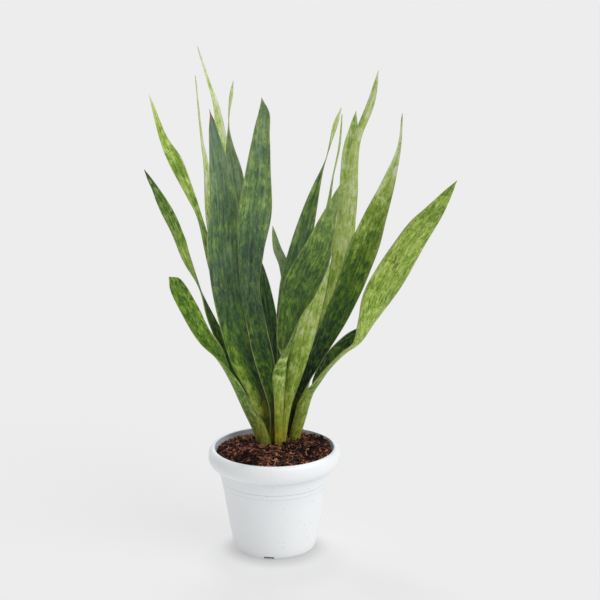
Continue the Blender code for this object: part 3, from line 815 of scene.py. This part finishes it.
# Paler and darker parts of a blade, some its own marks and some painted light and shade on its folds: where
# across (-1 to 1) and its spread, where along the length and its spread, and how much lighter.
leafPatchesAndPaintedLight = {
    # painted light and painted shade: the lit half and the shaded half of the channel near the root
    "leaf_left_3": ((-0.5, 1.0, 0.20, 0.20, 0.30), (0.6, 0.75, 0.17, 0.22, -0.45)),
    "leaf_left_2": ((0.4, 0.9, 0.05, 0.08, 0.10),),
    "leaf_middle_3": ((0, 9, 0.735, 0.035, 0.20), (0, 9, 0.655, 0.022, 0.12), (0, 9, 0.60, 0.02, -0.06)),
    "leaf_middle_1": ((0, 9, 0.290, 0.016, 0.30), (0, 9, 0.330, 0.016, 0.45), (0, 9, 0.370, 0.018, 0.55)),
    # painted shadow along the edge that lies in the fold beside the flap of leaf_middle_1
    "leaf_middle_2": ((0.9, 0.35, 0.26, 0.22, -0.35),),
    "leaf_right_2": ((0.7, 0.6, 0.35, 0.20, 0.10),),
}
leafFeet = [path[1][:2] for path in leafPaths.values()]


def through(values, at):  # a smooth curve through evenly numbered values, read at a number between them
    last = len(values) - 1
    i = min(int(at), last - 1)
    t = at - i
    b, c = values[i], values[i + 1]
    a = values[i - 1] if i else b + (b - c)
    d = values[i + 2] if i + 2 <= last else c + (c - b)
    square = a * 2 - b * 5 + c * 4 - d
    cube = b * 3 - a - c * 3 + d
    return b + (c - a) * (t / 2) + square * (t * t / 2) + cube * (t**3 / 2)


def evenSteps(points, count):  # numbers along the curve that cut it into stretches of one length
    fine = leafShape["spanSteps"] * (len(points) - 1)
    places = [through(points, k * (len(points) - 1) / fine) for k in range(fine + 1)]
    run = [0.0]
    for a, b in zip(places, places[1:]):
        run.append(run[-1] + (b - a).length)
    steps = []
    k = 0
    for row in range(count + 1):
        want = run[-1] * row / count
        while k < fine - 1 and run[k + 1] < want:
            k += 1
        steps.append((k + (want - run[k]) / (run[k + 1] - run[k])) * (len(points) - 1) / fine)
    return steps, run[-1]


def leafPattern(finish):
    # where a point lies on the leaf (across and along it in metres, and the leaf's own number), and the
    # marks that are there
    place = finish.attribute("leafPlace")
    across = finish.part(place, "X")
    along = finish.part(place, "Y")
    own = finish.part(place, "Z")
    wander = finish.noise(finish.stretch(place, (150, 60, 1)), 1, 3) - 0.5
    jag = finish.noise(finish.stretch(place, (400, 40, 1)), 1, 2) - 0.5
    banded = finish.vector(across * 14, along * 84 + wander * 2.2 + jag * 3.0, own)
    bands = finish.between(finish.noise(banded, 1, 2, 0.6), 0.44, 0.56)
    lined = finish.vector(across * 60, along * 240 + wander * 5 + jag * 7, own)
    lines = finish.between(finish.noise(lined, 1, 2, 0.6), 0.40, 0.60)
    jagged = finish.between(finish.noise(finish.stretch(place, (320, 160, 1)), 1, 3, 0.65), 0.36, 0.64)
    blotch = finish.between(finish.noise(finish.stretch(place, (170, 75, 1)), 1, 3, 0.6, 0.3), 0.42, 0.62)
    streak = finish.between(finish.noise(finish.stretch(place, (480, 24, 1)), 1, 3, 0.6), 0.33, 0.67)
    hair = finish.between(finish.noise(finish.stretch(place, (2600, 80, 1)), 1, 2, 0.6), 0.30, 0.70)
    cloud = finish.between(finish.noise(finish.stretch(place, (45, 12, 1)), 1, 2), 0.30, 0.70)
    fleckPlace = finish.vector(across * 430 + along * 40, along * 120 + wander * 1.5, own)
    fleck = finish.between(finish.noise(fleckPlace, 1, 3, 0.65), 0.52, 0.62)
    return place, bands, lines, jagged, blotch, streak, hair, cloud, fleck


def leafFinish(name, upper):
    finish = Finish(name)
    place, bands, lines, jagged, blotch, streak, hair, cloud, fleck = leafPattern(finish)
    tone = finish.attribute("leafTone")
    state = finish.attribute("leafState")
    marks = finish.attribute("leafMarks")
    light = finish.part(tone, "X") + finish.part(finish.attribute("leafSides"), "X" if upper else "Y")
    haze = finish.part(tone, "Y")
    yellow = finish.part(tone, "Z")
    out = finish.part(state, "X")
    edge = finish.part(state, "Y")
    dry = finish.part(state, "Z")
    flecks = finish.part(marks, "X")
    banding = finish.part(marks, "Y")
    red = finish.part(marks, "Z")

    level = light + ((bands - 0.5) * 0.32 + (lines - 0.5) * 0.26) * banding
    level = level + (jagged - 0.5) * (0.17 - 0.09 * banding)
    level = level + (blotch - 0.45) * ((0.26 if upper else 0.18) - 0.13 * banding) + (hair - 0.5) * 0.09
    level = level + (streak - 0.5) * (0.24 - 0.16 * banding)
    level = level + (cloud - 0.5) * 0.12
    # painted shade along the bottom of the channel on the upper face
    if upper:
        level = level - (1 - finish.between(out, 0.05, 0.60)) * 0.07
    colour = finish.ramp(level * leafColours["bladeShare"], leafColours["blade"])
    pale = leafColours["upperFleck" if upper else "underFleck"]
    colour = finish.mix(fleck * flecks * (0.45 if upper else 0.70), colour, pale)
    # waxy bloom and a painted sheen: a pale grey-blue haze, as strong as the leaf's haze
    bloomAndSheenTint = finish.mix(streak, *leafColours["bloomAndSheen"])
    bloomAndSheen = haze * (0.60 + 0.40 * cloud) * (0.80 + 0.40 * streak)
    colour = finish.mix(bloomAndSheen, colour, bloomAndSheenTint)
    colour = finish.mix(yellow * (0.45 + 0.7 * blotch), colour, leafColours["yellow"])
    line = finish.between(edge + (jagged - 0.5) * 0.3, 0.25, 0.75)
    margin = finish.mix(red * finish.between(cloud, 0.25, 0.75), *leafColours["margin"])
    colour = finish.mix(line * (0.15 + 0.6 * marginPatch(finish, place)), colour, margin)
    withered = finish.between(dry + (jagged - 0.5) * 0.35, 0.35, 0.65)
    colour = finish.mix(withered, colour, leafColours["withered"])
    finish.set("Base Color", colour)
    finish.set("Roughness", 0.40 + 0.12 * streak + 0.12 * bloomAndSheen + 0.2 * withered)
    finish.set("Specular IOR Level", 0.24)
    ridges = finish.bump(hair * 0.5 + streak * 0.9, 0.22 * mm)
    finish.set("Normal", finish.bump(blotch * 0.5 + jagged * 0.5, 0.25 * mm, 0.8, ridges))
    return finish.material


def marginPatch(finish, place):  # the stretches of the margin where its thin pale line shows
    return finish.between(finish.noise(finish.stretch(place, (20, 16, 1)), 1, 2), 0.42, 0.60)


def marginFinish():
    finish = Finish("leafMargin")
    place = finish.attribute("leafPlace")
    light = finish.part(finish.attribute("leafTone"), "X")
    red = finish.part(finish.attribute("leafMarks"), "Z")
    patch = finish.noise(finish.stretch(place, (300, 35, 1)), 1, 3, 0.6)
    fine = finish.noise(finish.stretch(place, (900, 400, 1)), 1, 2)
    green = finish.ramp((light + 0.08 * fine) * leafColours["bladeShare"], leafColours["blade"])
    colour = finish.mix(red * finish.between(patch, 0.35, 0.60), *leafColours["margin"])
    finish.set("Base Color", finish.mix(0.2 + 0.7 * marginPatch(finish, place), green, colour))
    finish.set("Roughness", 0.5 + 0.2 * fine)
    finish.set("Normal", finish.bump(fine, 0.2 * mm))
    return finish.material


def bladeWays(name, row, middles, steps, facings):
    # which way the upper face looks and the blade spreads at a row, and how far it is cupped
    rows = leafShape["rows"]
    ahead = middles[min(row + 1, rows)] - middles[row - 1] if row else Vector((0, 0, 1))
    ahead.normalize()
    turn = math.radians(through(facings, steps[row]))
    face = Vector((math.sin(turn), -math.cos(turn), 0))
    face = (face - ahead * face.dot(ahead)).normalized()
    across = ahead.cross(face)
    if name in leafFolds:
        cup = through(leafFolds[name], steps[row])
    else:
        cupShare = math.exp(-((row / rows / leafShape["cupFade"]) ** 2))
        cup = leafShape["bladeCup"] + (leafShape["rootCup"] - leafShape["bladeCup"]) * cupShare
    return face, across, math.radians(cup)


def bladeReach(number, name, side, t, run, width, free):
    # how wide the blade is on one half, with its wavering outline and its corners, drawn to a point
    wobble = noise.noise(Vector((number * 3.1, run * leafShape["waversPerMetre"], 4 if side > 0 else 8)))
    reach = width * (1 + leafShape["waver"] * 2 * wobble * free)
    reach *= min(1, 0.25 + (1 - t) * leafShape["rows"] / 3)
    for half, place, spread, out in leafCorners.get(name, ()):
        if side * half > 0:
            reach += 2 * out * mm * max(0, 1 - abs(t - place) / spread)
    return reach


def bladeLight(name, lights, side, t):
    light = through(lights, t * 4)
    for half, wide, place, spread, more in leafPatchesAndPaintedLight.get(name, ()):
        lengthwise = max(0, 1 - abs(t - place - 0.01 * side) / spread)
        light += more * lengthwise * max(0, 1 - abs(side - half) / wide)
    return light


def thickenLeaf(leaf):
    solid = leaf.modifiers.new("thickness", "SOLIDIFY")
    solid.thickness = leafShape["rootThickness"] * mm
    solid.offset = 0
    solid.vertex_group = "thickness"
    solid.material_offset = 1
    solid.material_offset_rim = 2
    rounded = leaf.modifiers.new("rounded", "SUBSURF")
    rounded.levels = 1
    rounded.render_levels = 1


def makeLeaf(number, name, finishes):
    path = leafPaths[name]
    lights, hazes, yellowFoot, flecks, banding, red, dryFrom = leafLooks[name]
    points = [Vector(row[:3]) * mm for row in path]
    widths = [row[3] * mm for row in path]
    facings = [row[4] for row in path]
    rows = leafShape["rows"]
    strips = leafShape["strips"]
    fade = leafShape["dryFade"]
    steps, length = evenSteps(points, rows)
    last = len(points) - 1
    middles = [through(points, min(step, last)) for step in steps]
    bpy.ops.object.select_all(action="DESELECT")
    bpy.ops.mesh.primitive_grid_add(x_subdivisions=strips, y_subdivisions=rows, size=2, calc_uvs=True)
    leaf = bpy.context.object
    leaf.name = name.replace("leaf", "blade")
    leaf.data.name = leaf.name
    thick = leaf.vertex_groups.new(name="thickness")
    tables = {key: [] for key in ("leafPlace", "leafTone", "leafState", "leafMarks", "leafSides")}
    for vert in leaf.data.vertices:
        side = vert.co.x
        row = round((vert.co.y + 1) / 2 * rows)
        t = row / rows
        run = t * length
        face, across, cup = bladeWays(name, row, middles, steps, facings)
        width = through(widths, steps[row])
        free = min(1, t * leafShape["rootFree"]) * min(1, (1 - t) * leafShape["tipFree"])
        reach = bladeReach(number, name, side, t, run, width, free)
        bend = reach / (2 * cup)
        rise = bend * (1 - math.cos(cup * side))
        wave = noise.noise(Vector((number * 5.7, run * leafShape["wavesPerMetre"], 2 if side > 0 else 6)))
        rise += leafShape["wave"] * mm * wave * free * side * side * min(1, width / (30 * mm))
        vert.co = middles[row] + across * bend * math.sin(cup * side) + face * rise
        full = leafShape["rootThickness"] + (leafShape["tipThickness"] - leafShape["rootThickness"]) * t
        slim = 1 - (1 - leafShape["marginShare"]) * side * side
        thick.add([vert.index], full / leafShape["rootThickness"] * slim, "REPLACE")
        fromEdge = (1 - abs(side)) * reach / 2
        tables["leafPlace"] += [side * reach / 2, run, number * 1.7]
        foot = yellowFoot * max(0, 1 - run / (leafShape["yellowLength"] * mm)) ** 1.2
        tables["leafTone"] += [bladeLight(name, lights, side, t), through(hazes, t * 4), foot]
        dry = min(1, max(0, (t - dryFrom + fade) / (2 * fade)))
        tables["leafState"] += [abs(side), max(0, 1 - fromEdge / (leafShape["marginLine"] * mm)), dry]
        tables["leafMarks"] += [flecks, banding, red]
        tables["leafSides"] += [*leafFaces.get(name, (0, 0)), 0]
    for key, values in tables.items():
        leaf.data.attributes.new(key, "FLOAT_VECTOR", "POINT").data.foreach_set("vector", values)
    thickenLeaf(leaf)
    for finish in finishes:
        leaf.data.materials.append(finish)
    applyModifiers(leaf)
    leaf.data.shade_smooth()
    finishPiece(leaf, "leaf", name)


def makeLeaves():
    finishes = (leafFinish("leafUpper", True), leafFinish("leafUnder", False), marginFinish())
    for number, name in enumerate(leafPaths):
        makeLeaf(number, name, finishes)
    print("leaves ready")


makeMix()
loose = looseFinish()
makeLoose()
print("potting mix ready")
makeLeaves()


# The rhizome stays the CAD's own piece, with a fibrous skin.
rhizomeSkin = {
    "scaleStretch": (60, 60, 420), "roughness": (0.65, 0.2), "bump": 0.8,
    "colours": (
        (0.30, (0.20, 0.11, 0.05)),
        (0.52, (0.48, 0.33, 0.16)),
        (0.75, (0.66, 0.52, 0.30)),
    ),
}


def rhizomeFinish():
    finish = Finish("rhizomeSkin")
    place = finish.objectPlace()
    scales = finish.noise(finish.stretch(place, rhizomeSkin["scaleStretch"]), 1, 4, 0.65)
    spots = finish.noise(place, 260, 3)
    least, more = rhizomeSkin["roughness"]
    finish.set("Base Color", finish.ramp(scales * 0.7 + spots * 0.3, rhizomeSkin["colours"]))
    finish.set("Roughness", least + more * spots)
    finish.set("Normal", finish.bump(scales, rhizomeSkin["bump"] * mm))
    return finish.material


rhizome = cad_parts["rhizome"]
rhizome.data.materials.clear()
rhizome.data.materials.append(rhizomeFinish())
print("rhizome ready")
